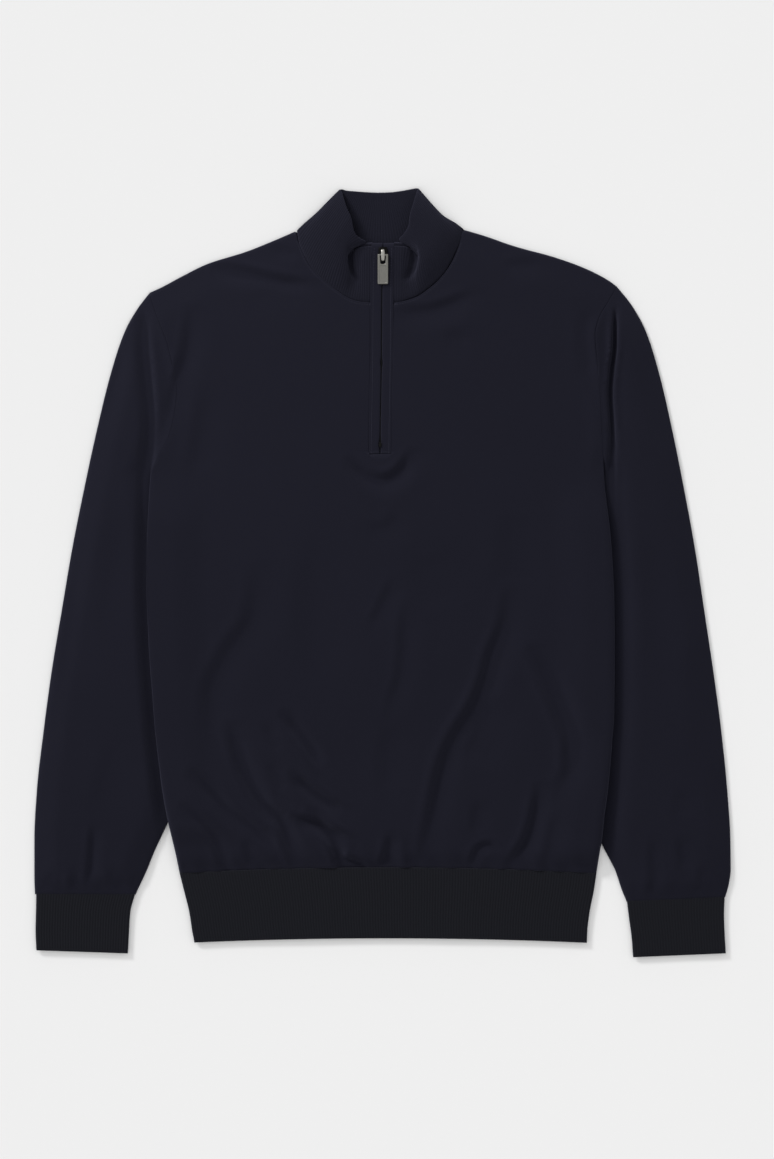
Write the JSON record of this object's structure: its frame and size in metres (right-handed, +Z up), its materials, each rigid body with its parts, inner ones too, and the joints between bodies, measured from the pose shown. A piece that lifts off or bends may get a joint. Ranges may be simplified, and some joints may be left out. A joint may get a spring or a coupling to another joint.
{
  "type": "quarter-zip sweater",
  "caption": "Long-sleeved quarter-zip sweater in fine knit with a ribbed stand collar, cuffs and hem, laid flat on its back; the zip's pull tab swings.",
  "frame": {"origin": "on the surface that it lies on, under the middle of the sweater's overall box", "axes": "+Z up from the surface, out of the front of the garment; +Y from the hem towards the collar; +X to the right of someone looking down at it"},
  "size_m": [0.6856, 0.757, 0.0125],
  "materials": {
    "jersey": "dark navy fine-gauge plain knit, matt with a soft nap",
    "rib": "dark navy rib knit, matt",
    "tape": "dark woven zip tape",
    "teeth": "dark gunmetal",
    "metal": "satin antique nickel"
  },
  "bodies": {
    "garment": {"back_body": "jersey", "front_body": "jersey", "sleeve_left": "jersey", "sleeve_right": "jersey", "cuff_left": "rib", "cuff_right": "rib", "hem_band": "rib", "collar": "rib", "placket_left": "jersey", "placket_right": "jersey", "zip_tape": "tape", "zip_chain": "teeth", "zip_stop": "metal", "zip_slider": "metal"},
    "pull_tab": {"pull_tab": "metal"}
  },
  "joints": [
    {"name": "tab_hinge", "type": "hinge", "parent": "garment", "child": "pull_tab", "pos_m": [0.00028, 0.3126, 0.01027], "axis": [-1, 0, 0], "range_deg": [0, 170]}
  ]
}
